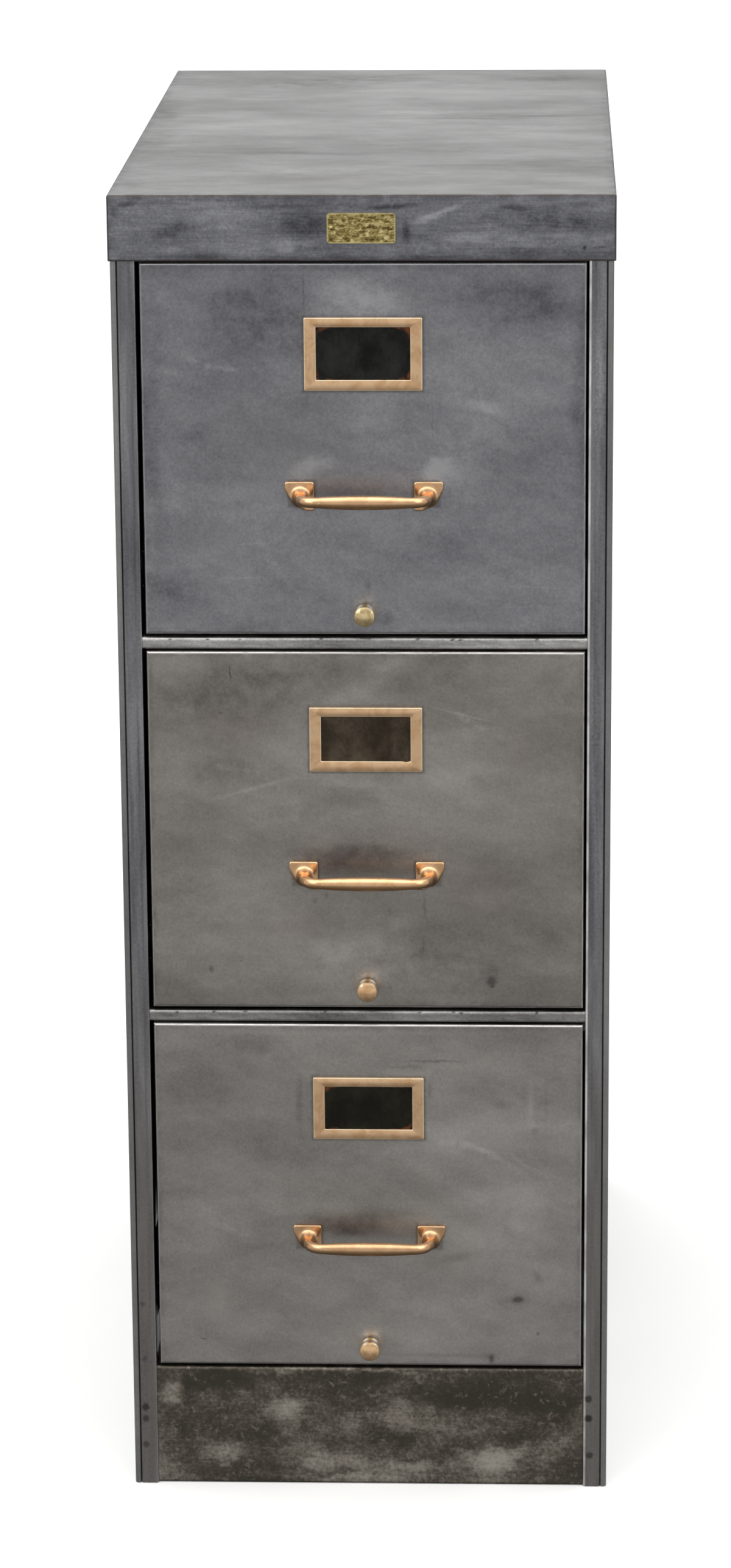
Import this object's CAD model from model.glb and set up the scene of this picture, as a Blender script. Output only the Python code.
import math

import bmesh
import bpy
from mathutils import Matrix, Vector


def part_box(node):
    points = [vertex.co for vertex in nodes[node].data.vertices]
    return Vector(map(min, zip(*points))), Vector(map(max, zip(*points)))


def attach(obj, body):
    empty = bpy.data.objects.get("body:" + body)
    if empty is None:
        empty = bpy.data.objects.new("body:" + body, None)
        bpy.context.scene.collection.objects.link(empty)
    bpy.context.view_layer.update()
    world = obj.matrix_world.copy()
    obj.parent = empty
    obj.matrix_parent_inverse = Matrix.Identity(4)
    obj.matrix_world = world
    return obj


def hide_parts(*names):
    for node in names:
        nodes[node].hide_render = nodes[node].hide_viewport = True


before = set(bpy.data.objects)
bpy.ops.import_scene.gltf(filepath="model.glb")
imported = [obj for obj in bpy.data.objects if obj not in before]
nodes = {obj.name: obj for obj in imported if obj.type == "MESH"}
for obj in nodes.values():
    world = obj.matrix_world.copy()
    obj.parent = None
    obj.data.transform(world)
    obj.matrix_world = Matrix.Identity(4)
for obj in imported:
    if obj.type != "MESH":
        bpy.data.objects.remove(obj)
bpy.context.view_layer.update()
mm = 0.001
drawers = (1, 2, 3)  # counted from the top


def boxInMillimetres(name):
    low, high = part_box(name)
    return [v / mm for v in low], [v / mm for v in high]


def paint(names, material):
    for name in [names] if isinstance(names, str) else names:
        mesh = nodes[name].data
        mesh.materials.clear()
        mesh.materials.append(material)
        mesh.polygons.foreach_set("material_index", [0] * len(mesh.polygons))


# a scene piece that stands for a CAD node and moves with its body
def standIn(name, mesh, node, body, material):
    piece = bpy.data.objects.new(name, mesh)
    bpy.context.scene.collection.objects.link(piece)
    mesh.materials.clear()
    mesh.materials.append(material)
    mesh.polygons.foreach_set("use_smooth", [True] * len(mesh.polygons))
    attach(piece, body)
    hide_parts(node)
    return piece


# the photograph's viewing angle, in metres and radians
cameraView = {
    "x": 0.14029, "y": -3.96192, "z": 1.60704,
    "yaw": -0.0387494, "pitch": 0.2744009, "roll": -0.0073606,
    "lens": 111.10,
}


def makeCamera(v):
    forward = Vector((
        math.sin(v["yaw"]) * math.cos(v["pitch"]),
        math.cos(v["yaw"]) * math.cos(v["pitch"]),
        -math.sin(v["pitch"]),
    ))
    right = Vector((math.cos(v["yaw"]), -math.sin(v["yaw"]), 0))
    up = right.cross(forward)
    turnedRight = right * math.cos(v["roll"]) + up * math.sin(v["roll"])
    turnedUp = up * math.cos(v["roll"]) - right * math.sin(v["roll"])
    data = bpy.data.cameras.new("photoCamera")
    data.lens = v["lens"]
    data.clip_end = 200
    camera = bpy.data.objects.new("photoCamera", data)
    camera.matrix_world = Matrix((
        (turnedRight.x, turnedUp.x, -forward.x, v["x"]),
        (turnedRight.y, turnedUp.y, -forward.y, v["y"]),
        (turnedRight.z, turnedUp.z, -forward.z, v["z"]),
        (0, 0, 0, 1),
    ))
    bpy.context.scene.collection.objects.link(camera)
    bpy.context.scene.camera = camera


studio = {
    # how bright the room is, from straight down (0) over the horizon (0.5) to straight up (1)
    "room": [(0.00, 0.16), (0.28, 0.34), (0.40, 0.62), (0.50, 0.72),
             (0.62, 0.58), (0.72, 0.80), (0.86, 1.90), (1.00, 2.20)],
    "roomTint": (1.0, 0.998, 0.992),
    # soft boxes in front on both sides: place, size, power
    "softBoxes": [((-2.5, -2.9, 2.5), 2.7, 34.0), ((2.7, -2.7, 2.3), 2.4, 24.0)],
    "aim": (0, -0.3, 0.6),
    "floorSize": 60.0, "floorHeight": -0.0002,
    "floorColour": (0.90, 0.90, 0.895),
}


def makeStudio(s):
    world = bpy.data.worlds.new("studio")
    world.use_nodes = True
    tree = world.node_tree
    tree.nodes.clear()
    place = tree.nodes.new("ShaderNodeTexCoord")
    split = tree.nodes.new("ShaderNodeSeparateXYZ")
    tree.links.new(place.outputs["Generated"], split.inputs[0])
    height = tree.nodes.new("ShaderNodeMapRange")
    height.inputs["From Min"].default_value = -1
    tree.links.new(split.outputs["Z"], height.inputs["Value"])
    ramp = tree.nodes.new("ShaderNodeValToRGB")
    brightest = max(level for _, level in s["room"])
    while len(ramp.color_ramp.elements) < len(s["room"]):
        ramp.color_ramp.elements.new(0.5)
    for element, (at, level) in zip(ramp.color_ramp.elements, s["room"]):
        element.position = at
        element.color = (*(level / brightest * t for t in s["roomTint"]), 1)
    tree.links.new(height.outputs[0], ramp.inputs[0])
    background = tree.nodes.new("ShaderNodeBackground")
    background.inputs["Strength"].default_value = brightest
    tree.links.new(ramp.outputs[0], background.inputs[0])
    output = tree.nodes.new("ShaderNodeOutputWorld")
    tree.links.new(background.outputs[0], output.inputs[0])
    bpy.context.scene.world = world

    for place, size, power in s["softBoxes"]:
        lamp = bpy.data.lights.new("softBox", "AREA")
        lamp.size = size
        lamp.energy = power
        box = bpy.data.objects.new("softBox", lamp)
        box.location = place
        box.rotation_euler = (Vector(s["aim"]) - Vector(place)).to_track_quat("-Z", "Y").to_euler()
        bpy.context.scene.collection.objects.link(box)

    mesh = bpy.data.meshes.new("floor")
    half = s["floorSize"] / 2
    corners = [(-half, -half), (half, -half), (half, half), (-half, half)]
    mesh.from_pydata([(x, y, s["floorHeight"]) for x, y in corners], [], [(0, 1, 2, 3)])
    floor = bpy.data.objects.new("floor", mesh)
    paper = bpy.data.materials.new("floorPaper")
    paper.use_nodes = True
    shader = paper.node_tree.nodes["Principled BSDF"]
    shader.inputs["Base Color"].default_value = (*s["floorColour"], 1)
    shader.inputs["Roughness"].default_value = 0.9
    mesh.materials.append(paper)
    floor.visible_glossy = False
    bpy.context.scene.collection.objects.link(floor)
    bpy.context.scene.view_settings.view_transform = "Standard"


makeCamera(cameraView)
makeStudio(studio)
print("camera and studio made")


# one procedural material; sizes and places in it are millimetres on the part itself
class finishTree:
    def __init__(self, name, metallic=1.0, coat=0.0):
        self.material = bpy.data.materials.new(name)
        self.material.use_nodes = True
        self.tree = self.material.node_tree
        self.shader = self.tree.nodes["Principled BSDF"]
        self.shader.inputs["Metallic"].default_value = metallic
        self.shader.inputs["Coat Weight"].default_value = coat
        self.shader.inputs["Coat Roughness"].default_value = 0.2
        self.seed = 0
        self.place = self.vector("SCALE", self.add("ShaderNodeTexCoord").outputs["Object"], scale=1 / mm)
        split = self.add("ShaderNodeSeparateXYZ")
        self.join(self.place, split.inputs[0])
        self.x, self.y, self.z = split.outputs

    def add(self, kind, **settings):
        made = self.tree.nodes.new(kind)
        for key, value in settings.items():
            setattr(made, key, value)
        return made

    def join(self, source, target):
        if isinstance(source, bpy.types.NodeSocket):
            self.tree.links.new(source, target)
        else:
            target.default_value = source

    def vector(self, operation, a, b=None, scale=None):
        made = self.add("ShaderNodeVectorMath", operation=operation)
        self.join(a, made.inputs[0])
        if b is not None:
            self.join(b, made.inputs[1])
        if scale is not None:
            made.inputs["Scale"].default_value = scale
        return made.outputs["Value" if operation == "LENGTH" else "Vector"]

    def maths(self, operation, a, b=0.0, c=None):
        made = self.add("ShaderNodeMath", operation=operation)
        self.join(a, made.inputs[0])
        self.join(b, made.inputs[1])
        if c is not None:
            self.join(c, made.inputs[2])
        return made.outputs[0]

    def times(self, a, b):
        return self.maths("MULTIPLY", a, b)

    def plus(self, a, b):
        return self.maths("ADD", a, b)

    # a value moved by a noise's swing about its middle
    def swung(self, value, noise, amount):
        return self.maths("MULTIPLY_ADD", self.plus(noise, -0.5), amount, value)

    def fade(self, value, low, high, toLow=0.0, toHigh=1.0):
        made = self.add("ShaderNodeMapRange", interpolation_type="SMOOTHSTEP")
        self.join(value, made.inputs["Value"])
        for socket, number in zip(("From Min", "From Max", "To Min", "To Max"), (low, high, toLow, toHigh)):
            made.inputs[socket].default_value = number
        return made.outputs["Result"]

    def mapped(self, source, at, size, turn=(0, 0, 0)):
        made = self.add("ShaderNodeMapping", vector_type="TEXTURE")
        self.join(source, made.inputs["Vector"])
        made.inputs["Location"].default_value = at
        made.inputs["Rotation"].default_value = [math.radians(a) for a in turn]
        made.inputs["Scale"].default_value = size
        return made.outputs[0]

    # noise in grains of about that size; each one looks at a place of its own
    def cloud(self, size, stretch=(1, 1, 1), detail=3.0, rough=0.5, warp=0.0, turn=(0, 0, 0), out="Fac"):
        self.seed += 1
        at = (37.0 * self.seed, 91.0 * self.seed, 53.0 * self.seed)
        made = self.add("ShaderNodeTexNoise")
        made.inputs["Scale"].default_value = 1.0
        made.inputs["Detail"].default_value = detail
        made.inputs["Roughness"].default_value = rough
        made.inputs["Distortion"].default_value = warp
        self.join(self.mapped(self.place, at, [size * s for s in stretch], turn), made.inputs["Vector"])
        return made.outputs[out]

    def ruffled(self, size, amount, source=None):
        swing = self.vector("SUBTRACT", self.cloud(size, detail=3, out="Color"), (0.5, 0.5, 0.5))
        return self.vector("ADD", source or self.place, self.vector("SCALE", swing, scale=amount))

    def blend(self, factor, a, b):
        made = self.add("ShaderNodeMix", data_type="RGBA", clamp_factor=True)
        self.join(factor, made.inputs[0])
        for value, socket in ((a, made.inputs[6]), (b, made.inputs[7])):  # the two colours
            self.join(value if isinstance(value, bpy.types.NodeSocket) else (*value, 1.0), socket)
        return made.outputs[2]

    def ramp(self, value, stops):
        made = self.add("ShaderNodeValToRGB")
        made.color_ramp.interpolation = "B_SPLINE"
        while len(made.color_ramp.elements) < len(stops):
            made.color_ramp.elements.new(0.5)
        for element, (at, colour) in zip(made.color_ramp.elements, stops):
            element.position = at
            element.color = (*colour, 1)
        self.join(value, made.inputs[0])
        return made.outputs[0]

    # 1 at the middle of a soft blot and 0 at its rim
    def blot(self, source, at, size, turn=(0, 0, 0), core=0.0):
        reach = self.vector("LENGTH", self.mapped(source, at, size, turn))
        return self.fade(reach, 1.0, core)

    # how far a point on a box's face lies from the nearest edge: the middle one of its three depths
    def fromEdge(self, low, high):
        depths = []
        for at, value in enumerate((self.x, self.y, self.z)):
            fromMiddle = self.maths("ABSOLUTE", self.maths("SUBTRACT", value, (low[at] + high[at]) / 2))
            depths.append(self.maths("SUBTRACT", (high[at] - low[at]) / 2, fromMiddle))
        least = self.maths("MINIMUM", depths[0], depths[1])
        most = self.maths("MAXIMUM", depths[0], depths[1])
        return self.maths("MAXIMUM", least, self.maths("MINIMUM", most, depths[2]))

    # how far a face looks along one axis, from -1 to 1
    def facing(self, axis):
        split = self.add("ShaderNodeSeparateXYZ")
        self.join(self.add("ShaderNodeTexCoord").outputs["Normal"], split.inputs[0])
        return split.outputs[axis]

    # fine straight hairs, all one way, in patches
    def hairs(self, length, width, turn, amount):
        hair = self.cloud(1.0, stretch=(length, width * 4, width), detail=1, rough=0.3, turn=turn)
        where = self.cloud(length * 1.5, detail=1)
        return self.times(self.times(self.fade(hair, 0.7, 0.8), self.fade(where, 0.45, 0.65)), amount)

    def finish(self, colour, roughness, height, strength, depth):
        self.join(colour, self.shader.inputs["Base Color"])
        self.join(roughness, self.shader.inputs["Roughness"])
        bump = self.add("ShaderNodeBump")
        bump.inputs["Strength"].default_value = strength
        bump.inputs["Distance"].default_value = depth * mm
        self.join(height, bump.inputs["Height"])
        self.join(bump.outputs[0], self.shader.inputs["Normal"])
        return self.material


through = 2000  # a blot of this half depth goes right through a sheet seen from the front


# a smudge left by the stripping and sanding: middle, width and height, turn in degrees, amount
# (above 0 lighter, below 0 darker), on a front, on the cover's apron or on its top
def onFront(x, z, width, height, turn, amount):
    return (x, 0, z), (width / 2, through, height / 2), (0, -turn, 0), amount


def onApron(x, z, width, height, turn, amount):
    return (x, -355, z), (width / 2, 60, height / 2), (0, -turn, 0), amount


def onTop(x, y, width, depth, turn, amount):
    return (x, y, 1049), (width / 2, depth / 2, 60), (0, 0, turn), amount


# a stain on a front: middle, half width and half height, amount, colour
def stain(x, z, halfWidth, halfHeight, amount, colour):
    return (x, 0, z), (halfWidth, through, halfHeight), (0, 0, 0), amount, colour


toneStops = (0.0, 0.33, 0.66, 1.0)  # where the four tones of a bare steel stand


# bare steel: four tones in clouds of one size and stretch, smudged, sanded and stained, worn along its edges
def strippedSteel(name, tones, panel=None, cloud=95.0, streak=(2.2, 1, 1), contrast=1.0,
                  smudges=(), arcs=(), tints=(), edge=None, rough=0.44, topTones=None,
                  softness=0.8, sand=0.35, patchy=0.12, brushed=0.0, contacts=()):
    f = finishTree(name, coat=0.12)
    soft = f.ruffled(60, 30)
    torn = f.ruffled(5, 3)
    broad = f.cloud(cloud, stretch=streak, detail=4, rough=0.5, warp=0.2)
    middle = f.cloud(cloud / 3.5, stretch=streak, detail=4, rough=0.6, warp=0.2)
    wiped = f.cloud(cloud / 5, stretch=(5, 1, 0.8), detail=3, rough=0.6, turn=(0, 24, 0))
    tone = f.plus(f.plus(f.times(broad, 0.55), f.times(middle, 0.30)), f.times(wiped, 0.15))
    tone = f.swung(0.5, tone, 1.5 * contrast)
    uneven = f.fade(f.cloud(13, detail=5, rough=0.65), 0.32, 0.68, 0.45, 1.4)
    for at, size, turn, amount in smudges:
        if min(size) < 9:
            tone = f.maths("MULTIPLY_ADD", f.blot(torn, at, size, turn), amount * softness, tone)
        else:
            wide = f.times(f.blot(soft, at, [v * 1.25 for v in size], turn), uneven)
            tone = f.maths("MULTIPLY_ADD", wide, amount * softness, tone)
    # swings of the sanding block: the circle's middle and radius, the line's width, then where it shows
    for (middleX, middleZ), radius, width, (shownX, shownZ), reach, amount in arcs:
        fromMiddle = f.vector("LENGTH", f.mapped(soft, (middleX, 0, middleZ), (1, 1e5, 1)))
        band = f.fade(f.maths("ABSOLUTE", f.plus(fromMiddle, -radius)), width * 1.6, 0)
        where = f.blot(f.place, (shownX, 0, shownZ), (reach, through, reach))
        band = f.times(f.times(band, where), f.fade(f.cloud(9, detail=3, rough=0.7), 0.35, 0.65))
        tone = f.maths("MULTIPLY_ADD", band, amount * 0.72, tone)
    mist = f.cloud(2.4, detail=3, rough=0.7)
    fine = f.cloud(0.8, detail=2, rough=0.6)
    texture = f.times(f.plus(mist, -0.5), sand)
    texture = f.swung(texture, f.cloud(8, detail=3, rough=0.6, warp=0.4), patchy)
    texture = f.swung(texture, fine, 0.36)
    if brushed:
        texture = f.swung(texture, f.cloud(1.5, stretch=(16, 4, 1), detail=3, rough=0.6), brushed)
    if topTones:
        upward = f.fade(f.facing("Z"), 0.5, 0.9)
        texture = f.times(texture, f.fade(upward, 0, 1, 1, 0.4))
    tone = f.plus(tone, texture)
    darkest, dark, _, lightest = tones
    colour = f.ramp(tone, list(zip(toneStops, tones)))
    if topTones:
        topColour = f.ramp(tone, list(zip(toneStops, topTones)))
        colour = f.blend(upward, colour, topColour)
    for at, size, turn, amount, tint in tints:
        colour = f.blend(f.times(f.blot(soft, at, size, turn), amount), colour, tint)
    hair = f.plus(f.hairs(60, 0.30, (0, 12, 0), 0.5), f.hairs(45, 0.25, (0, -38, 0), 0.4))
    hair = f.plus(hair, f.hairs(80, 0.35, (0, 78, 0), 0.3))
    colour = f.blend(f.times(hair, 0.30), colour, [c * 1.6 for c in lightest])
    speck = f.fade(f.cloud(1.6, detail=3, rough=0.7), 0.71, 0.78)
    colour = f.blend(f.times(speck, 0.45), colour, [c * 0.4 for c in darkest])
    roughness = f.fade(middle, 0.3, 0.7, rough - 0.05, rough + 0.06)
    # grime that the cloth left in the corner round a fitting
    for x, z, halfX, halfZ in contacts:
        parts = f.add("ShaderNodeSeparateXYZ")
        f.join(f.vector("ABSOLUTE", f.vector("SUBTRACT", torn, (x, 0, z))), parts.inputs[0])
        away = f.maths("MAXIMUM", f.plus(parts.outputs["X"], -halfX), f.plus(parts.outputs["Z"], -halfZ))
        colour = f.blend(f.fade(away, 3.0, 0.0, 0, 0.5), colour, [c * 0.4 for c in dark])
    if panel and edge:
        inside = f.fromEdge(*panel)
        ragged = f.cloud(14, detail=4, rough=0.65)
        band = f.times(f.fade(inside, edge["shade"], edge["width"]), f.fade(ragged, 0.35, 0.65))
        colour = f.blend(f.times(band, edge["shadeAmount"]), colour, [c * 0.5 for c in dark])
        worn = f.times(f.fade(inside, edge["width"], edge["width"] * 0.35),
                       f.fade(ragged, 0.32, 0.58, edge["least"], 1.0))
        colour = f.blend(worn, colour, edge["colour"])
        roughness = f.maths("SUBTRACT", roughness, f.times(worn, 0.12))
    height = f.plus(f.times(fine, 0.5), f.plus(f.times(hair, -0.6), f.times(mist, 0.5)))
    return f.finish(colour, roughness, height, strength=0.25, depth=0.04)


frontEdge = {"width": 1.7, "least": 0.35, "colour": (0.66, 0.65, 0.635), "shade": 7.0, "shadeAmount": 0.35}
frontFinish = {
    1: {
        "tones": [(0.085, 0.085, 0.094), (0.190, 0.190, 0.206), (0.290, 0.290, 0.308), (0.430, 0.430, 0.445)],
        "smudges": [
            onFront(-92, 960, 100, 66, 20, -0.34), onFront(-54, 938, 40, 80, 70, -0.30),
            onFront(-3, 968, 90, 42, 0, 0.55), onFront(90, 976, 110, 38, 0, -0.28),
            onFront(136, 968, 50, 46, 20, -0.30), onFront(164, 900, 18, 190, 0, -0.42),
            onFront(104, 934, 90, 30, -8, 0.12), onFront(83, 888, 120, 14, -10, 0.22),
            onFront(-42, 838, 44, 20, 12, 0.70), onFront(53, 840, 30, 26, 70, 0.70),
            onFront(4, 848, 60, 20, 0, -0.16), onFront(-15, 993, 300, 8, 0, -0.22),
            onFront(-44, 975, 2.6, 46, 0, -0.32), onFront(53, 874, 2.0, 60, 0, -0.26),
            onFront(3, 747, 8, 8, 0, -0.45), onFront(18, 720, 16, 20, 0, -0.35),
            onFront(-147, 738, 50, 40, 20, -0.30), onFront(-92, 753, 60, 2.4, 2, 0.30),
            onFront(134, 746, 70, 1.8, -2, 0.28), onFront(-84, 780, 50, 3, 3, 0.22),
            onFront(-105, 872, 120, 20, 6, -0.16), onFront(10, 800, 150, 40, 0, 0.10),
            onFront(70, 715, 140, 12, 0, 0.18), onFront(4, 880, 90, 30, 0, 0.26),
            onFront(100, 950, 100, 70, 0, -0.16), onFront(-160, 860, 20, 260, 0, -0.30),
            onFront(90, 850, 100, 120, 20, 0.16),
        ],
        "arcs": [
            ((-100, 1000), 84, 3, (-112, 918), 46, 0.5),
            ((30, 700), 195, 5, (84, 886), 60, 0.35),
            ((-20, 800), 60, 4, (-66, 770), 50, 0.25),
        ],
        "tints": [
            stain(-60, 850, 70, 60, 0.28, (0.245, 0.228, 0.215)),
            stain(-110, 780, 40, 50, 0.22, (0.230, 0.215, 0.205)),
            stain(30, 735, 110, 22, 0.20, (0.270, 0.255, 0.245)),
        ],
        "softness": 0.62, "sand": 0.56, "patchy": 0.28,
    },
    2: {
        "tones": [(0.100, 0.094, 0.085), (0.222, 0.205, 0.188), (0.330, 0.305, 0.281), (0.480, 0.460, 0.435)],
        "smudges": [
            onFront(-100, 660, 150, 70, 10, -0.40), onFront(-104, 678, 1.8, 18, 6, -0.80),
            onFront(-112, 646, 5, 4, 0, -0.40), onFront(-6, 670, 120, 22, 28, 0.24),
            onFront(26, 688, 90, 12, 24, 0.18), onFront(75, 645, 80, 2.6, -14, 0.34),
            onFront(-84, 586, 110, 5, 16, 0.26), onFront(-5, 588, 100, 12, -4, 0.18),
            onFront(-107, 600, 80, 40, 20, -0.20), onFront(-15, 529, 110, 24, 0, -0.50),
            onFront(98, 428, 12, 14, 0, -0.75), onFront(99, 424, 5, 4, 0, -0.80),
            onFront(98, 436, 20, 22, 0, -0.24), onFront(-122, 438, 6, 9, 0, -0.55),
            onFront(-99, 444, 5, 1.6, 20, -0.60), onFront(26, 472, 22, 26, 0, 0.14),
            onFront(46, 490, 4, 34, 4, -0.28), onFront(44, 456, 6, 30, -6, -0.20),
            onFront(-40, 494, 8, 8, 0, -0.35), onFront(-31, 498, 6, 6, 0, -0.30),
            onFront(150, 660, 40, 60, 0, -0.20), onFront(60, 600, 120, 60, 12, 0.10),
            onFront(-140, 520, 50, 120, 0, -0.10), onFront(20, 415, 240, 12, 0, 0.12),
            onFront(0, 682, 320, 36, 0, -0.20), onFront(10, 446, 280, 60, 0, 0.30),
            onFront(-30, 560, 260, 30, 6, 0.14),
        ],
        "arcs": [
            ((20, 520), 140, 3, (92, 640), 50, 0.40),
            ((-160, 420), 190, 4, (-92, 596), 70, 0.30),
            ((60, 640), 74, 5, (20, 600), 60, 0.20),
        ],
        "tints": [
            stain(-15, 529, 58, 13, 0.55, (0.135, 0.110, 0.115)),
            stain(90, 500, 60, 46, 0.25, (0.270, 0.225, 0.190)),
            stain(-60, 470, 60, 30, 0.25, (0.270, 0.225, 0.190)),
            stain(-100, 640, 60, 40, 0.25, (0.240, 0.205, 0.175)),
            stain(120, 610, 40, 60, 0.25, (0.250, 0.215, 0.180)),
        ],
        "softness": 0.7, "sand": 0.42, "patchy": 0.16,
    },
    3: {
        "tones": [(0.115, 0.109, 0.101), (0.268, 0.254, 0.238), (0.388, 0.368, 0.346), (0.540, 0.525, 0.505)],
        "smudges": [
            onFront(-82, 370, 100, 34, -10, -0.26), onFront(54, 362, 70, 3, 0, -0.40),
            onFront(30, 357, 40, 6, 0, -0.25), onFront(106, 326, 26, 12, 0, -0.28),
            onFront(132, 304, 14, 10, 20, -0.28), onFront(-54, 328, 10, 60, 0, -0.26),
            onFront(49, 338, 8, 26, 0, -0.34), onFront(129, 322, 9, 80, 0, 0.22),
            onFront(141, 326, 5, 70, 0, -0.12), onFront(-19, 227, 110, 22, 0, -0.42),
            onFront(119, 161, 12, 7, 0, -0.90), onFront(119, 161, 24, 12, 0, -0.28),
            onFront(135, 132, 5, 6, 0, -0.50), onFront(98, 110, 6, 12, 0, -0.70),
            onFront(96, 112, 24, 12, 0, -0.28), onFront(135, 180, 10, 22, 30, -0.28),
            onFront(-133, 126, 7, 2, 0, -0.50), onFront(-117, 161, 20, 40, 0, 0.16),
            onFront(71, 197, 46, 12, 10, -0.30), onFront(-100, 290, 120, 40, 10, 0.08),
            onFront(90, 210, 120, 90, 0, 0.10), onFront(0, 385, 320, 8, 0, 0.12),
            onFront(120, 230, 40, 110, 20, 0.12), onFront(-20, 270, 60, 20, 0, 0.10),
            onFront(60, 113, 120, 6, 0, -0.22), onFront(-46, 350, 16, 12, 40, 0.18),
        ],
        "arcs": [
            ((60, 210), 84, 3, (90, 284), 56, 0.45),
            ((60, 210), 92, 2, (120, 268), 40, 0.30),
            ((-60, 330), 120, 4, (-110, 226), 60, 0.22),
        ],
        "tints": [
            stain(-19, 227, 58, 12, 0.50, (0.150, 0.128, 0.132)),
            stain(-117, 165, 12, 22, 0.35, (0.330, 0.290, 0.250)),
            stain(60, 210, 60, 50, 0.20, (0.330, 0.295, 0.262)),
        ],
        "softness": 0.8, "sand": 0.40, "patchy": 0.10,
    },
}

# where grime gathers: the pull's feet from its middle, and the knob, each with its half size
contactShape = {"footSpread": 47.6, "footRise": 1.6, "footHalf": 9.4, "knobRise": 2, "knobHalf": (4.5, 5)}


# middle and half size of a piece as seen from the front: x, z, half width, half height
def acrossFront(name):
    low, high = boxInMillimetres(name)
    return (low[0] + high[0]) / 2, (low[2] + high[2]) / 2, (high[0] - low[0]) / 2, (high[2] - low[2]) / 2


def fittingsOn(number, s):
    pullX, pullZ, _, _ = acrossFront(f"drawer_{number}_pull")
    knobX, knobZ, _, _ = acrossFront(f"drawer_{number}_knob")
    contacts = [acrossFront(f"drawer_{number}_label_frame"), (knobX, knobZ + s["knobRise"], *s["knobHalf"])]
    for side in (-1, 1):
        contacts.append((pullX + side * s["footSpread"], pullZ + s["footRise"], s["footHalf"], s["footHalf"]))
    return contacts


for number in drawers:
    painted = f"drawer_{number}_front_skin"
    paint(painted, strippedSteel(f"frontSteel{number}", panel=boxInMillimetres(painted), edge=frontEdge,
                                 contacts=fittingsOn(number, contactShape), **frontFinish[number]))
print("drawer fronts finished")

coverFinish = {
    "tones": [(0.042, 0.042, 0.048), (0.135, 0.136, 0.152), (0.252, 0.255, 0.280), (0.460, 0.460, 0.485)],
    "topTones": [(0.075, 0.075, 0.073), (0.172, 0.173, 0.171), (0.312, 0.317, 0.315), (0.400, 0.400, 0.394)],
    "smudges": [
        onApron(-176, 1042, 22, 7, 10, -0.60), onApron(-186, 1036, 12, 16, 0, -0.35),
        onApron(-150, 1020, 46, 22, 10, -0.55), onApron(-100, 1030, 60, 24, 0, 0.14),
        onApron(-40, 1026, 44, 26, 0, -0.50), onApron(28, 1040, 70, 6, 4, -0.55),
        onApron(-62, 1040, 90, 5, 0, -0.30), onApron(50, 1031, 44, 9, 16, 0.60),
        onApron(66, 1038, 38, 6, 20, 0.45), onApron(34, 1020, 10, 26, 0, -0.50),
        onApron(-38, 1008, 50, 8, 0, -0.30), onApron(76, 1016, 60, 12, 0, 0.28),
        onApron(116, 1039, 40, 8, 0, -0.50), onApron(166, 1041, 40, 7, 0, -0.55),
        onApron(120, 1006, 60, 10, 0, -0.35), onApron(150, 1018, 60, 10, 0, 0.14),
        onApron(168, 1009, 4, 5, 20, -0.90), onApron(180, 1009, 22, 2.4, 0, -0.50),
        onApron(-130, 1002, 110, 6, 0, -0.25), onApron(4, 1040, 60, 8, 0, -0.20),
        onApron(-66, 1010, 130, 26, 0, 0.30), onApron(104, 1012, 70, 20, 0, 0.16),
        onApron(140, 1028, 120, 22, 0, -0.50), onApron(0, 1001, 380, 5, 0, -0.30),
        onApron(46, 1008, 110, 20, 8, 0.24), onApron(-110, 1042, 50, 6, 0, 0.20),
        onTop(-73, 283, 200, 70, 0, -0.34), onTop(-20, 318, 170, 50, 0, -0.28),
        onTop(140, 316, 120, 50, 0, -0.35), onTop(-184, 110, 36, 200, 0, -0.42),
        onTop(-178, -60, 40, 120, 0, -0.30), onTop(62, 62, 190, 12, 0, -0.30),
        onTop(130, 76, 110, 14, 0, -0.34), onTop(30, 100, 260, 40, 0, 0.20),
        onTop(-60, -134, 150, 22, 0, -0.26), onTop(74, -200, 170, 12, 0, -0.32),
        onTop(0, -240, 300, 50, 0, 0.22), onTop(100, -40, 160, 60, 0, 0.14),
        onTop(-176, -300, 30, 60, 0, -0.25), onTop(-110, 20, 90, 110, 0, 0.12),
    ],
    "tints": [
        ((0, -290, 1049), (200, 70, 60), (0, 0, 0), 0.30, (0.300, 0.282, 0.258)),
    ],
    "edge": {"width": 1.9, "least": 0.85, "colour": (0.060, 0.048, 0.044), "shade": 9.0, "shadeAmount": 0.45},
    "streak": (2.6, 1.2, 0.6), "softness": 0.66, "sand": 0.62, "patchy": 0.34, "brushed": 0.45,
}
paint("top_cover", strippedSteel("coverSteel", panel=boxInMillimetres("top_cover"), **coverFinish))

sideTones = [(0.110, 0.110, 0.112), (0.200, 0.199, 0.198), (0.290, 0.288, 0.284), (0.400, 0.398, 0.392)]
paint(["side_panel_left", "side_panel_right", "back_panel"],
      strippedSteel("caseSteel", sideTones, streak=(1, 1, 2.6), cloud=110))


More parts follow.
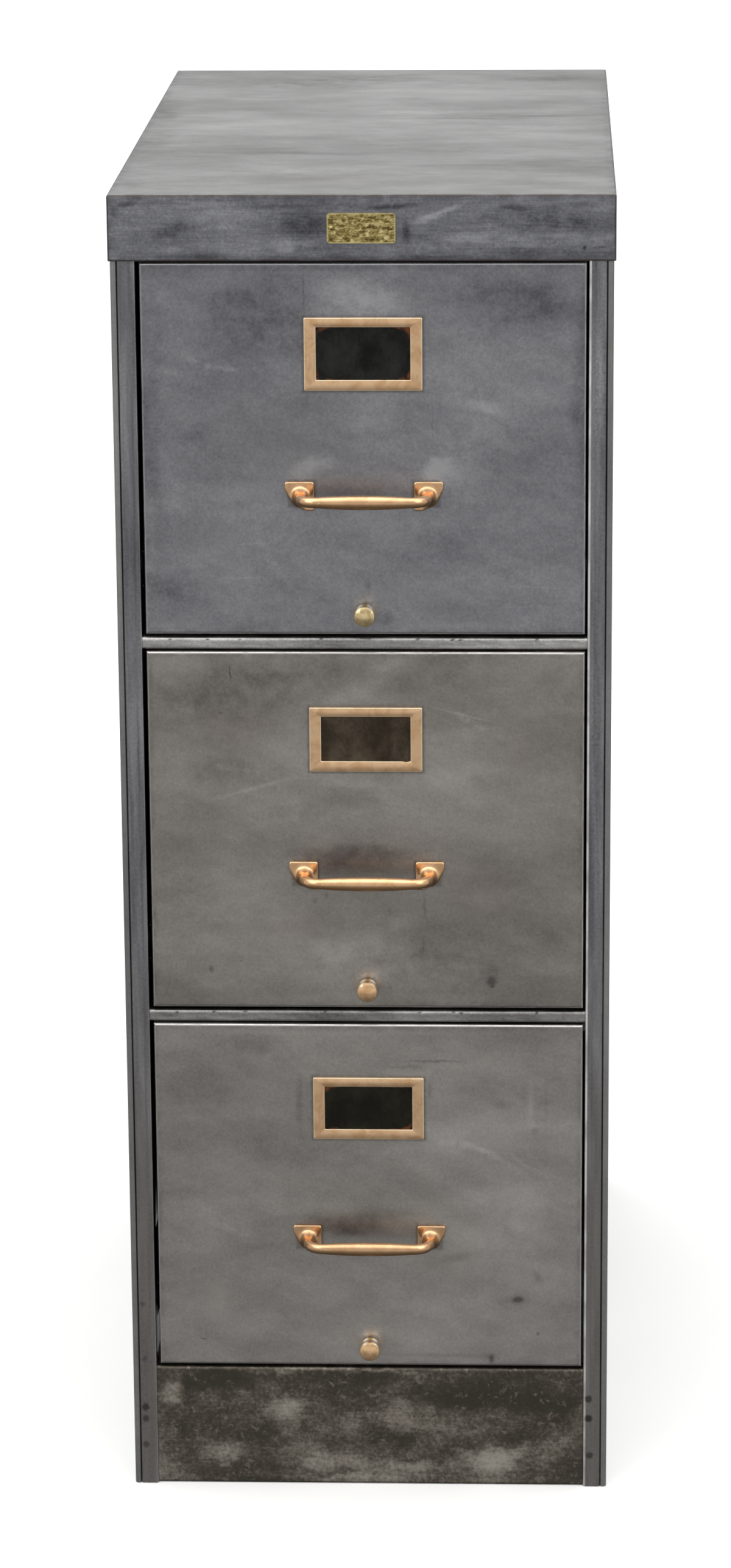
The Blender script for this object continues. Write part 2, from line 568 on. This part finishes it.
stileFinish = {
    "tones": [(0.28, (0.078, 0.077, 0.082)), (0.45, (0.172, 0.170, 0.180)),
              (0.60, (0.258, 0.255, 0.268)), (0.78, (0.40, 0.40, 0.41))],
    "middle": 0.75,  # the stiles' middle, a little right of the cabinet's
    "line": 176.6, "lineColour": (0.060, 0.060, 0.064),
    "low": (0.225, 0.205, 0.182), "inward": (0.030, 0.030, 0.032), "edge": (0.85, 0.85, 0.84),
    # cloudy marks: middle, half size, amount, colour
    "marks": [
        ((-181, 0, 958), (9, through, 34), 0.55, (0.075, 0.075, 0.085)),
        ((-177, 0, 860), (5, through, 120), 0.35, (0.110, 0.110, 0.125)),
        ((180, 0, 905), (7, through, 70), 0.60, (0.420, 0.430, 0.460)),
        ((178, 0, 640), (6, through, 180), 0.30, (0.360, 0.360, 0.360)),
    ],
    # weld spots near the foot: x, z, size, amount
    "spots": [
        (-181, 66, 3.6, 0.8), (-181, 56, 3.2, 0.7), (-181, 33.5, 3.2, 0.6), (176, 76, 3.4, 0.8),
        (176, 59, 3.6, 0.9), (177, 27, 3.2, 0.7), (-182, 155, 2.6, 0.4), (-181, 108, 2.6, 0.4),
    ],
    "spotColour": (0.040, 0.034, 0.028),
}


def stileSteel(s):
    f = finishTree("stileSteel", coat=0.12)
    run = f.cloud(26, stretch=(0.35, 1, 5), detail=4, rough=0.6, warp=0.3)
    mist = f.cloud(2.4, detail=3, rough=0.7)
    fine = f.cloud(0.8, detail=2)
    tone = f.plus(f.times(run, 0.66), f.plus(f.times(mist, 0.26), f.times(fine, 0.14)))
    colour = f.ramp(tone, s["tones"])
    # a fold line that wanders a little
    out = f.maths("ABSOLUTE", f.plus(f.x, -s["middle"]))
    wander = f.plus(out, f.times(f.plus(f.cloud(60, stretch=(1, 1, 3), detail=2), -0.5), 3.0))
    line = f.fade(f.maths("ABSOLUTE", f.plus(wander, -s["line"])), 1.5, 0.3)
    broken = f.fade(f.cloud(40, stretch=(1, 1, 3)), 0.35, 0.6, 0.05, 0.35)
    colour = f.blend(f.times(line, broken), colour, s["lineColour"])
    for at, size, amount, tint in s["marks"]:
        cloudy = f.blot(f.ruffled(12, 8), at, size)
        colour = f.blend(f.times(cloudy, f.times(f.fade(mist, 0.3, 0.6), amount)), colour, tint)
    low = f.times(f.fade(f.z, 520, 160), f.fade(mist, 0.3, 0.6, 0.35, 0.7))
    colour = f.blend(low, colour, s["low"])
    # dark where a face looks sideways into the gap, bright along the bend
    sideways = f.fade(f.maths("ABSOLUTE", f.facing("X")), 0.80, 0.95)
    colour = f.blend(f.times(sideways, f.fade(out, 180, 175)), colour, s["inward"])
    bend = f.times(f.fade(out, 173.3, 172.2), f.fade(sideways, 0, 1, 1, 0))
    worn = f.fade(f.cloud(24, detail=3), 0.35, 0.6, 0.55, 1.0)
    colour = f.blend(f.times(bend, worn), colour, s["edge"])
    for x, z, size, amount in s["spots"]:
        spot = f.blot(f.ruffled(3, 2.5), (x, 0, z), (size * 1.15, through, size * 1.25), core=0.45)
        colour = f.blend(f.times(spot, amount), colour, s["spotColour"])
    return f.finish(colour, f.fade(run, 0.3, 0.7, 0.38, 0.5), f.plus(mist, fine), strength=0.2, depth=0.04)


paint(["front_post_left", "front_post_right", "head_rail"], stileSteel(stileFinish))

railFinish = {
    "tones": [(0.05, 0.05, 0.048), (0.20, 0.196, 0.190), (0.34, 0.33, 0.320), (0.60, 0.59, 0.57)],
    "levels": {1: 1.45, 2: 1.0},  # the upper rail is scoured brighter
    "nicks": (-150, -121, -96, -33, 41, 68, 74, 133),
}
for number, level in railFinish["levels"].items():
    painted = f"divider_rail_{number}"
    low, high = boxInMillimetres(painted)
    paint(painted, strippedSteel(
        f"railSteel{number}", [[c * level for c in tone] for tone in railFinish["tones"]],
        cloud=22, streak=(4, 1, 0.6), contrast=1.3, rough=0.4, sand=0.5,
        smudges=[onFront(x, low[2] + 8, 5, 2.2, 10, -0.8) for x in railFinish["nicks"]]))
print("case steel finished")

baseFinish = {
    # bare patches where the mill scale came off, patches where it stayed, and clusters of small ring pits
    "bare": [
        onFront(-70, 57, 62, 40, 20, 1.0), onFront(-116, 26, 56, 30, 0, 0.8),
        onFront(-160, 80, 34, 40, 0, 0.9), onFront(108, 26, 110, 38, 8, 1.1),
        onFront(40, 14, 110, 20, 0, 0.7), onFront(-40, 20, 70, 20, 0, 0.5),
        onFront(150, 40, 40, 40, 0, 0.3), onFront(-20, 98, 300, 9, 0, 0.7),
        onFront(-100, 52, 50, 30, 0, 0.3), onFront(0, 5, 360, 9, 0, 0.4),
    ],
    "scaled": [
        onFront(-122, 88, 90, 24, 0, 0.9), onFront(90, 76, 190, 36, 0, 0.9),
        onFront(-150, 44, 30, 30, 0, 0.7), onFront(20, 40, 70, 22, 0, 0.5),
        onFront(155, 66, 44, 40, 0, 0.6), onFront(-30, 8, 60, 10, 0, 0.4),
    ],
    "rings": [
        onFront(-77, 84, 24, 14, 0, 1), onFront(-125, 72, 34, 16, 0, 1), onFront(6, 74, 24, 34, 0, 1),
        onFront(64, 78, 34, 14, 0, 1), onFront(30, 56, 60, 20, 0, 1), onFront(146, 55, 34, 24, 0, 1),
        onFront(-40, 46, 60, 22, 0, 1), onFront(76, 62, 40, 14, 0, 1), onFront(-90, 50, 50, 20, 0, 0.6),
    ],
    "tones": [(0.20, (0.066, 0.057, 0.045)), (0.35, (0.125, 0.109, 0.086)),
              (0.49, (0.320, 0.288, 0.242)), (0.66, (0.560, 0.515, 0.450))],
    "flake": (0.34, 0.30, 0.25), "ring": (0.30, 0.235, 0.175), "pit": (0.050, 0.040, 0.032),
    "pitsPerMillimetre": 0.19,
}


def baseSteel(s):
    f = finishTree("baseSteel", coat=0.10)
    torn = f.ruffled(9, 10, f.ruffled(30, 24))
    patch = f.plus(f.times(f.cloud(42, stretch=(1.6, 1, 1), detail=6, rough=0.62), 0.9), -0.12)
    for at, size, turn, amount in s["bare"]:
        patch = f.maths("MULTIPLY_ADD", f.blot(torn, at, size, turn), 0.30 * amount, patch)
    for at, size, turn, amount in s["scaled"]:
        patch = f.maths("MULTIPLY_ADD", f.blot(torn, at, size, turn), -0.28 * amount, patch)
    patch = f.swung(patch, f.cloud(3.0, detail=5, rough=0.75), 0.55)
    patch = f.swung(patch, f.cloud(2.2, stretch=(11, 2, 1), detail=3, rough=0.6), 0.16)
    colour = f.ramp(patch, s["tones"])
    flake = f.fade(f.cloud(7, detail=6, rough=0.75, warp=0.6), 0.58, 0.63)
    colour = f.blend(f.times(flake, 0.5), colour, s["flake"])
    where = None
    for at, size, turn, amount in s["rings"]:
        spot = f.times(f.blot(torn, at, size, turn, core=0.4), amount)
        where = spot if where is None else f.maths("MAXIMUM", where, spot)
    pits = f.add("ShaderNodeTexVoronoi")
    pits.inputs["Scale"].default_value = s["pitsPerMillimetre"]
    f.join(f.ruffled(1.6, 1.8), pits.inputs["Vector"])
    reach = f.times(pits.outputs["Distance"], 5.26)  # in millimetres
    broken = f.fade(f.cloud(6, detail=3, rough=0.6), 0.42, 0.58)
    ring = f.times(f.fade(f.maths("ABSOLUTE", f.plus(reach, -1.5)), 0.7, 0.2), broken)
    hole = f.times(f.fade(reach, 1.2, 0.5), broken)
    colour = f.blend(f.times(f.times(ring, where), 0.55), colour, s["ring"])
    colour = f.blend(f.times(f.times(hole, where), 0.7), colour, s["pit"])
    height = f.plus(f.times(patch, 0.8), f.times(f.times(hole, where), -1.5))
    return f.finish(colour, f.fade(patch, 0.3, 0.7, 0.52, 0.40), height, strength=0.4, depth=0.12)


paint("base_front", baseSteel(baseFinish))
print("base finished")


def innerSteel(name, tone, rough):
    f = finishTree(name)
    cloud = f.cloud(55, detail=4, rough=0.6)
    colour = f.blend(f.fade(cloud, 0.35, 0.65), [c * 0.78 for c in tone], tone)
    drawn = f.cloud(1.0, stretch=(1, 40, 0.8), detail=2)
    colour = f.blend(f.fade(drawn, 0.3, 0.7, 0, 0.12), colour, [min(1, c * 1.7) for c in tone])
    roughness = f.fade(cloud, 0.3, 0.7, rough - 0.05, rough + 0.08)
    return f.finish(colour, roughness, drawn, strength=0.15, depth=0.03)


# colour, roughness and the pieces of each drawer that have it
innerFinish = {
    "innerSteel": ((0.34, 0.34, 0.335), 0.42, ("front_liner", "tray", "tracks", "arms", "follower")),
    "drawnSteel": ((0.52, 0.52, 0.51), 0.25, ("rod", "pull_screws")),
    "turnedSteel": ((0.45, 0.45, 0.44), 0.28, ("rollers_front", "rollers_middle", "rollers_rear")),
}
for name, (tone, rough, parts) in innerFinish.items():
    steel = innerSteel(name, tone, rough)
    paint([f"drawer_{number}_{part}" for number in drawers for part in parts], steel)
    if name == "innerSteel":
        paint(["base_frame", "inner_posts", "case_tracks"], steel)
print("inner steel finished")


castingFinish = {
    "light": (0.84, 0.530, 0.300), "middle": (0.72, 0.43, 0.230), "hollow": (0.20, 0.110, 0.055),
    "edge": (0.98, 0.78, 0.56), "under": (0.40, 0.235, 0.110), "rough": 0.22,
    "levels": {1: 1.0, 2: 1.09, 3: 0.88},  # the middle pull is the brightest and the lowest the dullest
}


# satin bronze, dark in the hollows of the casting and bright on its edges
def castBronze(number, s):
    f = finishTree(f"castBronze{number}")
    level = s["levels"][number]
    light, middle, edge = ([min(1, c * level) for c in s[key]] for key in ("light", "middle", "edge"))
    patches = f.cloud(11, detail=4, rough=0.6, warp=0.5)
    colour = f.blend(f.fade(patches, 0.35, 0.62), middle, light)
    fine = f.cloud(0.6, stretch=(3, 1, 1), detail=3, rough=0.65)
    colour = f.blend(f.fade(fine, 0.30, 0.50, 0.10, 0), colour, [c * 0.6 for c in middle])
    bend = f.add("ShaderNodeNewGeometry").outputs["Pointiness"]
    colour = f.blend(f.fade(bend, 0.490, 0.440), colour, s["hollow"])
    colour = f.blend(f.fade(bend, 0.530, 0.580, 0, 0.7), colour, edge)
    colour = f.blend(f.fade(f.facing("Z"), 0.25, -0.55, 0, 0.85), colour, s["under"])
    return f.finish(colour, f.fade(fine, 0.3, 0.7, s["rough"] - 0.03, s["rough"] + 0.05), fine,
                    strength=0.08, depth=0.02)


pullShape = {
    "weld": 0.01,              # points closer than this are one
    "grain": 0.42,             # between the points of the new skin
    "relax": 0.5, "passes": 3,
    # the roots are evened out further: from the pull's middle, how far round, how deep, above the foot
    "rootSpread": 48.6, "rootReach": 11.0, "rootDepth": 9.0, "rootRise": 1.2, "rootPasses": 16,
}


# the casting with its creases run together, as they come out of a sand mould
def castPull(number, s, material):
    node = f"drawer_{number}_pull"
    source = bmesh.new()
    source.from_mesh(nodes[node].data)
    bmesh.ops.remove_doubles(source, verts=source.verts, dist=s["weld"] * mm)
    mesh = bpy.data.meshes.new(f"castPull{number}")
    source.to_mesh(mesh)
    source.free()
    holder = bpy.data.objects.new("holder", mesh)
    bpy.context.scene.collection.objects.link(holder)
    melt = holder.modifiers.new("melt", "REMESH")
    melt.mode = "VOXEL"
    melt.voxel_size = s["grain"] * mm
    relax = holder.modifiers.new("relax", "SMOOTH")
    relax.factor = s["relax"]
    relax.iterations = s["passes"]
    evaluated = holder.evaluated_get(bpy.context.evaluated_depsgraph_get())
    melted = bpy.data.meshes.new_from_object(evaluated)
    melted.name = f"castPull{number}"
    bpy.data.objects.remove(holder)
    middleX, middleZ, _, _ = acrossFront(node)
    _, (_, back, _) = boxInMillimetres(node)
    shape = bmesh.new()
    shape.from_mesh(melted)
    root = []
    for v in shape.verts:
        x, y, z = v.co / mm
        off = math.hypot(abs(x - middleX) - s["rootSpread"], z - middleZ)
        if off < s["rootReach"] and back - s["rootDepth"] < y < back - s["rootRise"]:
            root.append(v)
    for _ in range(s["rootPasses"]):
        bmesh.ops.smooth_vert(shape, verts=root, factor=s["relax"],
                              use_axis_x=True, use_axis_y=True, use_axis_z=True)
    shape.to_mesh(melted)
    shape.free()
    standIn(f"castPull{number}", melted, node, f"drawer_{number}", material)


for number in drawers:
    castPull(number, pullShape, castBronze(number, castingFinish))
print("pulls cast")

frameShape = {
    "sideBorder": 9.2, "topBorder": 7.4, "bottomBorder": 8.5,
    "crown": 0.42,         # how far the face is fuller in the middle of each border
    "outerRound": 0.55, "windowRound": 0.45,
    "cornerRadius": 1.1, "windowCorner": 0.5,
    "pocketRim": 3.2, "pocketTopRim": 0.1, "pocketDepth": 1.0, "pocketCorner": 0.05,
    "edgeSteps": 4, "faceSteps": 12,
    # a bite out of the window's lower edge on one frame, and the rings of points that it moves
    "chips": {2: {"fromCorner": 4.0, "width": 4.6, "depth": 1.3, "sink": 0.35, "lip": 1.5, "wave": 5.1,
                  "rings": (12, 22)}},
}


# a rectangle of points with rounded corners, all at one depth
def roundedRing(x0, x1, z0, z1, radius, y, steps=5, along=22):
    points = []
    corners = [(x1, z0, -90), (x1, z1, 0), (x0, z1, 90), (x0, z0, 180)]
    for (x, z, start), (nextX, nextZ, _) in zip(corners, corners[1:] + corners[:1]):
        centreX = x - radius if x == x1 else x + radius
        centreZ = z - radius if z == z1 else z + radius
        arc = []
        for step in range(steps + 1):
            angle = math.radians(start + 90 * step / steps)
            arc.append((centreX + radius * math.cos(angle), centreZ + radius * math.sin(angle)))
        points += arc
        nextCentreX = nextX - radius if nextX == x1 else nextX + radius
        nextCentreZ = nextZ - radius if nextZ == z1 else nextZ + radius
        endAngle = math.radians(start + 90)
        end = (nextCentreX + radius * math.cos(endAngle), nextCentreZ + radius * math.sin(endAngle))
        fromX, fromZ = arc[-1]
        points += [(fromX + (end[0] - fromX) * k / along, fromZ + (end[1] - fromZ) * k / along)
                   for k in range(1, along)]
    return [(px, y, pz) for px, pz in points]


# rings of points from the back, over the crowned face, into the window and round the card's pocket
def labelFrame(number, s, material):
    node = f"drawer_{number}_label_frame"
    low, high = boxInMillimetres(node)
    face, back = low[1], high[1]
    outer = (low[0], high[0], low[2], high[2])
    window = (low[0] + s["sideBorder"], high[0] - s["sideBorder"], low[2] + s["bottomBorder"],
              high[2] - s["topBorder"])
    inward = (1, -1, 1, -1)

    def moved(box, by):
        return [v + sign * by for v, sign in zip(box, inward)]

    rings = [roundedRing(*outer, s["cornerRadius"], back)]
    for step in range(s["edgeSteps"] + 1):
        angle = math.radians(90 * step / s["edgeSteps"])
        inset = s["outerRound"] * (1 - math.cos(angle))
        rings.append(roundedRing(*moved(outer, inset), s["cornerRadius"],
                                 face + s["crown"] + s["outerRound"] * (1 - math.sin(angle))))
    start, end = moved(outer, s["outerRound"]), moved(window, -s["windowRound"])
    for step in range(1, s["faceSteps"]):
        share = step / s["faceSteps"]
        box = [a + (b - a) * share for a, b in zip(start, end)]
        radius = s["cornerRadius"] + (s["windowCorner"] - s["cornerRadius"]) * share
        rings.append(roundedRing(*box, radius, face + s["crown"] * (2 * share - 1) ** 2))
    for step in range(s["edgeSteps"] + 1):
        angle = math.radians(90 * step / s["edgeSteps"])
        inset = s["windowRound"] * (1 - math.sin(angle))
        rings.append(roundedRing(*moved(window, -inset), s["windowCorner"],
                                 face + s["crown"] + s["windowRound"] * (1 - math.cos(angle))))
    pocket = moved(outer, s["pocketRim"])
    pocket[3] = outer[3] - s["pocketTopRim"]
    floor = back - s["pocketDepth"]
    rings.append(roundedRing(*window, s["windowCorner"], floor))
    rings.append(roundedRing(*pocket, s["pocketCorner"], floor))
    rings.append(roundedRing(*pocket, s["pocketCorner"], back))

    def chipped(place, x, y, z):
        chip = s["chips"].get(number)
        if not chip:
            return x, y, z
        first, last = chip["rings"]
        off = abs(x - (window[1] - chip["fromCorner"])) / (chip["width"] / 2)
        if off >= 1 or abs(z - window[2]) >= chip["lip"] or not first <= place <= last:
            return x, y, z
        bite = (1 - off * off) * (0.75 + 0.25 * math.sin(x * chip["wave"]))
        return x, y + chip["sink"] * bite, z - chip["depth"] * bite * (place - first + 1) / (last - first + 1)

    shape = bmesh.new()
    loops = []
    for place, ring in enumerate(rings):
        points = [chipped(place, *point) for point in ring]
        loops.append([shape.verts.new((x * mm, y * mm, z * mm)) for x, y, z in points])
    for first, second in zip(loops, loops[1:] + loops[:1]):
        count = len(first)
        for k in range(count):
            shape.faces.new((first[k], first[(k + 1) % count], second[(k + 1) % count], second[k]))
    bmesh.ops.recalc_face_normals(shape, faces=shape.faces)
    mesh = bpy.data.meshes.new(f"labelFrame{number}")
    shape.to_mesh(mesh)
    shape.free()
    mesh.set_sharp_from_angle(angle=math.radians(50))
    standIn(f"labelFrame{number}", mesh, node, f"drawer_{number}", material)


# middle and half size of a label frame's window: x, z, half width, half height
def windowAcross(number, s):
    low, high = boxInMillimetres(f"drawer_{number}_label_frame")
    return ((low[0] + high[0]) / 2, (low[2] + s["bottomBorder"] + high[2] - s["topBorder"]) / 2,
            (high[0] - low[0]) / 2 - s["sideBorder"],
            (high[2] - s["topBorder"] - low[2] - s["bottomBorder"]) / 2)


framesFinish = {
    "light": (0.88, 0.590, 0.350), "dark": (0.72, 0.44, 0.235), "edge": (1.00, 0.82, 0.58),
}


def labelFrameBronze(number, s, shape):
    f = finishTree(f"frameBronze{number}")
    low, high = boxInMillimetres(f"drawer_{number}_label_frame")
    patches = f.cloud(13, detail=4, rough=0.6, warp=0.5)
    colour = f.blend(f.fade(patches, 0.35, 0.62), s["dark"], s["light"])
    upright = f.cloud(1.1, stretch=(1, 1, 9), detail=2, rough=0.6)
    where = f.fade(f.cloud(10, stretch=(1.5, 1, 1), detail=2), 0.48, 0.62)
    brushed = f.times(f.fade(upright, 0.50, 0.38), f.times(where, 0.20))
    colour = f.blend(brushed, colour, [c * 0.5 for c in s["dark"]])
    mist = f.cloud(0.7, detail=3, rough=0.7)
    colour = f.blend(f.fade(mist, 0.35, 0.65, 0.05, 0), colour, [c * 0.55 for c in s["dark"]])
    middleX, middleZ, halfX, halfZ = windowAcross(number, shape)
    acrossX = f.plus(f.maths("ABSOLUTE", f.plus(f.x, -middleX)), -halfX)
    acrossZ = f.plus(f.maths("ABSOLUTE", f.plus(f.z, -middleZ)), -halfZ)
    fromWindow = f.maths("MAXIMUM", acrossX, acrossZ)
    worn = f.maths("MAXIMUM", f.fade(fromWindow, 0.9, 0.3), f.fade(f.fromEdge(low, high), 1.1, 0.4))
    colour = f.blend(f.times(worn, f.fade(patches, 0.3, 0.55, 0.45, 1.0)), colour, s["edge"])
    return f.finish(colour, f.fade(mist, 0.3, 0.7, 0.28, 0.32), upright, strength=0.03, depth=0.02)


for number in drawers:
    labelFrame(number, frameShape, labelFrameBronze(number, framesFinish, frameShape))
print("label frames pressed")

knobFinish = {
    "brass": {"light": (0.86, 0.68, 0.38), "dark": (0.62, 0.47, 0.24)},
    "bronze": {"light": (0.95, 0.63, 0.36), "dark": (0.76, 0.46, 0.23)},
    "metals": {1: "brass", 2: "bronze", 3: "bronze"},
    "axis": 0.75,
    # the polished waist is dark on top and bright at its sides
    "streak": (0.22, 0.130, 0.070), "gleam": (1.0, 0.95, 0.86),
}


# turned metal: fine rings round the knob's own axis
def turnedKnob(number, s):
    tones = s[s["metals"][number]]
    f = finishTree(f"knob{number}")
    _, middleZ, radius, _ = acrossFront(f"drawer_{number}_knob")
    spread = f.vector("LENGTH", f.mapped(f.place, (s["axis"], 0, middleZ), (1, 1e6, 1)))
    rings = f.add("ShaderNodeTexNoise", noise_dimensions="1D")
    rings.inputs["Scale"].default_value = 3.0
    rings.inputs["Detail"].default_value = 2
    f.join(spread, rings.inputs["W"])
    patches = f.cloud(5, detail=4, rough=0.6)
    colour = f.blend(f.fade(patches, 0.35, 0.62), tones["dark"], tones["light"])
    groove = f.fade(rings.outputs["Fac"], 0.35, 0.55, 0.12, 0)
    colour = f.blend(groove, colour, [c * 0.5 for c in tones["dark"]])
    fine = f.cloud(0.5, detail=3, rough=0.7)
    height = f.plus(rings.outputs["Fac"], f.times(fine, 0.5))
    rim = f.fade(spread, radius - 1.6, radius - 0.4, 0, 0.5)
    colour = f.blend(rim, colour, [min(1, c * 1.15) for c in tones["light"]])
    waist = f.fade(f.facing("Y"), -0.75, -0.45)
    sideways = f.maths("ABSOLUTE", f.facing("X"))
    upward = f.fade(f.facing("Z"), 0.1, 0.5)
    streak = f.times(f.times(waist, upward), f.fade(sideways, 0.28, 0.08, 0, 0.6))
    colour = f.blend(streak, colour, s["streak"])
    gleam = f.times(f.fade(sideways, 0.25, 0.42), f.fade(sideways, 0.85, 0.65))
    gleam = f.times(f.times(waist, gleam), f.fade(f.facing("Z"), 0, 0.4, 0, 0.8))
    colour = f.blend(gleam, colour, s["gleam"])
    under = f.fade(f.facing("Z"), -0.1, -0.7, 0, 0.5)
    colour = f.blend(under, colour, [c * 0.4 for c in tones["dark"]])
    return f.finish(colour, f.fade(fine, 0.3, 0.7, 0.13, 0.20), height, strength=0.05, depth=0.01)


for number in drawers:
    paint(f"drawer_{number}_knob", turnedKnob(number, knobFinish))


plateFinish = {
    "tones": [(0.38, (0.060, 0.044, 0.016)), (0.46, (0.22, 0.165, 0.055)),
              (0.54, (0.55, 0.43, 0.16)), (0.62, (1.00, 0.86, 0.48))],
    "rim": (0.74, 0.64, 0.30),
}


def plateBrass(s):
    f = finishTree("plateBrass")
    patches = f.cloud(3.2, stretch=(1.6, 1, 1), detail=6, rough=0.75, warp=0.4)
    wiped = f.cloud(0.7, stretch=(9, 1, 1), detail=3, rough=0.6)
    tone = f.plus(f.times(patches, 0.85), f.times(wiped, 0.15))
    rim = f.fade(f.fromEdge(*boxInMillimetres("nameplate")), 1.3, 0.6)
    colour = f.blend(f.times(rim, 0.7), f.ramp(tone, s["tones"]), s["rim"])
    return f.finish(colour, f.fade(tone, 0.35, 0.65, 0.34, 0.18), tone, strength=0.6, depth=0.25)


paint(["nameplate", "nameplate_pins"], plateBrass(plateFinish))

cardFinish = {
    "dark": {1: (0.004, 0.004, 0.0036), 2: (0.017, 0.012, 0.007), 3: (0.005, 0.0045, 0.003)},
    "scuffed": {1: (0.014, 0.014, 0.013), 2: (0.050, 0.038, 0.026), 3: (0.012, 0.011, 0.006)},
    "rust": (0.100, 0.030, 0.008), "rustAmount": {1: 0.9, 2: 0.12, 3: 0.8},
}


def labelCard(number, s, shape):
    f = finishTree(f"labelCard{number}", metallic=0.0)
    f.shader.inputs["Specular IOR Level"].default_value = 0.08
    soft = f.cloud(16, stretch=(1, 1, 1.4), detail=3, rough=0.55)
    chalk = f.cloud(1.1, stretch=(1, 1, 2.2), detail=4, rough=0.75)
    scuff = f.plus(f.times(soft, 0.65), f.times(chalk, 0.35))
    colour = f.blend(f.fade(scuff, 0.36, 0.70), s["dark"][number], s["scuffed"][number])
    middleX, middleZ, halfX, halfZ = windowAcross(number, shape)
    # an even distance to the window's rounded rectangle, so rust fills its corners first
    place = f.ruffled(4, 3)
    parts = f.add("ShaderNodeSeparateXYZ")
    f.join(f.mapped(place, (middleX, 0, middleZ), (halfX, 1e6, halfZ)), parts.inputs[0])
    reach = f.plus(f.maths("POWER", f.maths("ABSOLUTE", parts.outputs["X"]), 5.0),
                   f.maths("POWER", f.maths("ABSOLUTE", parts.outputs["Z"]), 5.0))
    rust = f.times(f.fade(reach, 0.85, 1.35), f.fade(f.cloud(9, detail=3), 0.38, 0.52))
    colour = f.blend(f.times(rust, s["rustAmount"][number]), colour, s["rust"])
    return f.finish(colour, f.fade(scuff, 0.3, 0.7, 0.35, 0.55), chalk, strength=0.2, depth=0.05)


for number in drawers:
    paint(f"drawer_{number}_label_card", labelCard(number, cardFinish, frameShape))
print("knobs, plate and cards finished")

for node in nodes.values():
    node.data.polygons.foreach_set("use_smooth", [True] * len(node.data.polygons))
